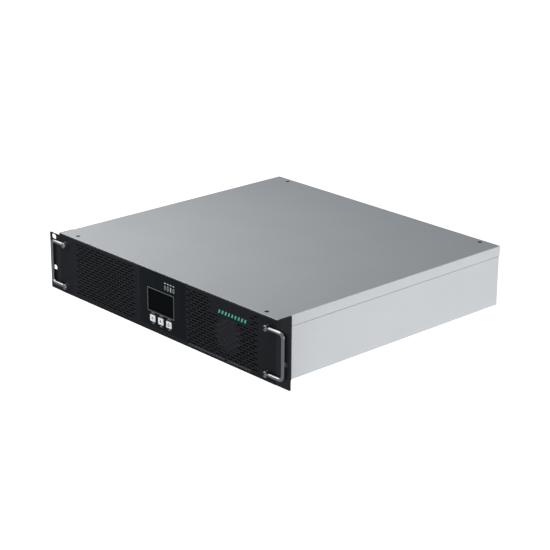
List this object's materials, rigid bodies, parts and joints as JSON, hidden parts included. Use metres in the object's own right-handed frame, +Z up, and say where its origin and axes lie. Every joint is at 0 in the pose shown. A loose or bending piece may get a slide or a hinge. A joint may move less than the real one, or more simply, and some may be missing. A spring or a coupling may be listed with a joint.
{
  "type": "uninterruptible power supply",
  "caption": "Flat rack-mount power supply case with slit-vented black front, raised display with keys, slotted ears and folding bail handles.",
  "frame": {"origin": "centre of the base's underside, half way from the front face to the cover's back edge", "axes": "+X to the viewer's right, +Y to the back, +Z up"},
  "size_m": [0.4826, 0.4272, 0.085],
  "materials": {
    "case_paint": "light grey satin powder coat",
    "cover_paint": "mid grey satin powder coat",
    "black_steel": "black satin coat",
    "zinc_steel": "zinc plated",
    "black_moulding": "fine moulded grain",
    "black_gloss": "smooth",
    "chrome_bar": "polished",
    "grey_moulding": "satin",
    "display_pane": "smoked clear pane",
    "display_glass": "dark liquid crystal glass",
    "circuit_board": "solder resist",
    "white_key": "silicone key, satin",
    "switch_moulding": "moulded",
    "clear_moulding": "clear moulded bars",
    "battery_moulding": "moulded case",
    "lead_plate": "lead plate pack",
    "tinned_brass": "tinned",
    "cable_sheath": "insulated lead",
    "extruded_aluminium": "extruded",
    "package_epoxy": "moulded epoxy",
    "capacitor_sleeve": "shrunk sleeve",
    "ferrite": "sintered core and winding",
    "fan_moulding": "glass-filled moulding",
    "red_key": "moulded",
    "port_shell": "shells and housings"
  },
  "bodies": {
    "case": {"chassis_tray": "case_paint", "rear_panel": "case_paint", "top_cover": "cover_paint", "countersunk_screws": "black_steel", "right_rack_ear": "black_steel", "left_rack_ear": "black_steel", "ear_screws": "black_steel", "case_screws": "black_steel", "fan_screws": "black_steel", "front_frame": "zinc_steel", "battery_clamps": "zinc_steel", "partition_wall": "zinc_steel", "slot_cover": "zinc_steel", "rear_fan_guard": "zinc_steel", "front_panel": "black_moulding", "mains_inlet": "black_moulding", "outlet_bank": "black_moulding", "breaker_body": "black_moulding", "battery_connector": "black_moulding", "display_bezel": "black_gloss", "handle_posts": "chrome_bar", "handle_pins": "chrome_bar", "display_frame": "grey_moulding", "display_window": "display_pane", "display_module": "display_glass", "display_board": "circuit_board", "main_board": "circuit_board", "control_board": "circuit_board", "button_switches": "switch_moulding", "relays": "switch_moulding", "light_pipes": "clear_moulding", "battery_1": "battery_moulding", "battery_2": "battery_moulding", "battery_3": "battery_moulding", "battery_cells": "lead_plate", "display_pillars": "tinned_brass", "battery_terminals": "tinned_brass", "inlet_pins": "tinned_brass", "board_standoffs": "tinned_brass", "earth_stud": "tinned_brass", "battery_links": "cable_sheath", "heat_sinks": "extruded_aluminium", "power_transistors": "package_epoxy", "bus_capacitors": "capacitor_sleeve", "filter_chokes": "ferrite", "power_transformer": "ferrite", "front_fan_frame": "fan_moulding", "rear_fan_frame": "fan_moulding", "communication_ports": "port_shell"},
    "button_left_key": {"button_left": "white_key", "switch_plunger_left": "switch_moulding"},
    "button_middle_key": {"button_middle": "white_key", "switch_plunger_middle": "switch_moulding"},
    "button_right_key": {"button_right": "white_key", "switch_plunger_right": "switch_moulding"},
    "left_handle": {"left_handle_bail": "chrome_bar"},
    "right_handle": {"right_handle_bail": "chrome_bar"},
    "front_rotor": {"front_fan_rotor": "fan_moulding"},
    "rear_rotor": {"rear_fan_rotor": "fan_moulding"},
    "breaker_reset": {"breaker_button": "red_key"}
  },
  "joints": [
    {"name": "button_left_press", "type": "slide", "parent": "case", "child": "button_left_key", "axis": [0, 1, 0], "range_m": [0, 0.0005], "stiffness_N_per_m": 400},
    {"name": "button_middle_press", "type": "slide", "parent": "case", "child": "button_middle_key", "axis": [0, 1, 0], "range_m": [0, 0.0005], "stiffness_N_per_m": 400},
    {"name": "button_right_press", "type": "slide", "parent": "case", "child": "button_right_key", "axis": [0, 1, 0], "range_m": [0, 0.0005], "stiffness_N_per_m": 400},
    {"name": "left_handle_fold", "type": "hinge", "parent": "case", "child": "left_handle", "pos_m": [-0.2035, -0.207, 0.0415], "axis": [0, 0, 1], "range_deg": [0, 90]},
    {"name": "right_handle_fold", "type": "hinge", "parent": "case", "child": "right_handle", "pos_m": [0.2035, -0.207, 0.0415], "axis": [0, 0, -1], "range_deg": [0, 90]},
    {"name": "front_fan_spin", "type": "hinge", "parent": "case", "child": "front_rotor", "pos_m": [0.1285, -0.18, 0.0425], "axis": [0, 1, 0], "continuous": true},
    {"name": "rear_fan_spin", "type": "hinge", "parent": "case", "child": "rear_rotor", "pos_m": [0.052, 0.18, 0.0425], "axis": [0, 1, 0], "continuous": true},
    {"name": "breaker_reset_slide", "type": "slide", "parent": "case", "child": "breaker_reset", "axis": [0, 1, 0], "range_m": [0, 0.003]}
  ]
}
